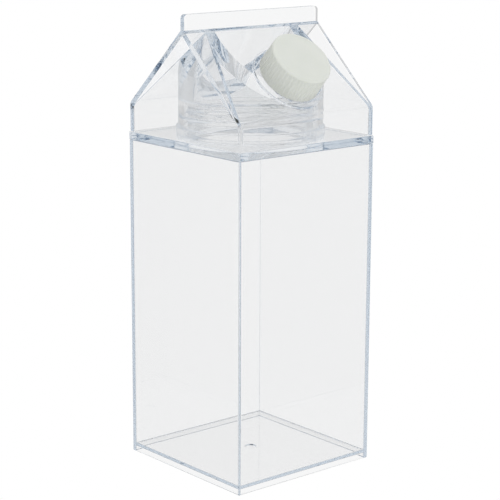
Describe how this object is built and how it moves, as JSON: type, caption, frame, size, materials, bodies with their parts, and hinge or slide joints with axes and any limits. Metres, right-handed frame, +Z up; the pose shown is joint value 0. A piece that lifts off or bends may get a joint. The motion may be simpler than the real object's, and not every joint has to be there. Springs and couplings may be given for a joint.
{
  "type": "carton-shaped water bottle",
  "caption": "Empty clear plastic drinking bottle in the shape of a gable-top carton, with a square body, a screw-on gable lid and a white screw cap on its roof.",
  "frame": {"origin": "the middle of the underside", "axes": "+Z up, +X along the ridge of the gable, -Y towards the roof panel with the spout"},
  "size_m": [0.0706, 0.0751, 0.1871],
  "materials": {
    "clear_plastic": "clear, polished, bluish where seen edge on",
    "seal_silicone": "translucent, satin",
    "cap_plastic": "opaque off-white, satin, with a fine ribbed side"
  },
  "bodies": {
    "root": {"body_shell": "clear_plastic", "shoulder_neck": "clear_plastic", "gable_lid": "clear_plastic", "seal_ring": "seal_silicone", "spout_cap": "cap_plastic"}
  },
  "joints": []
}
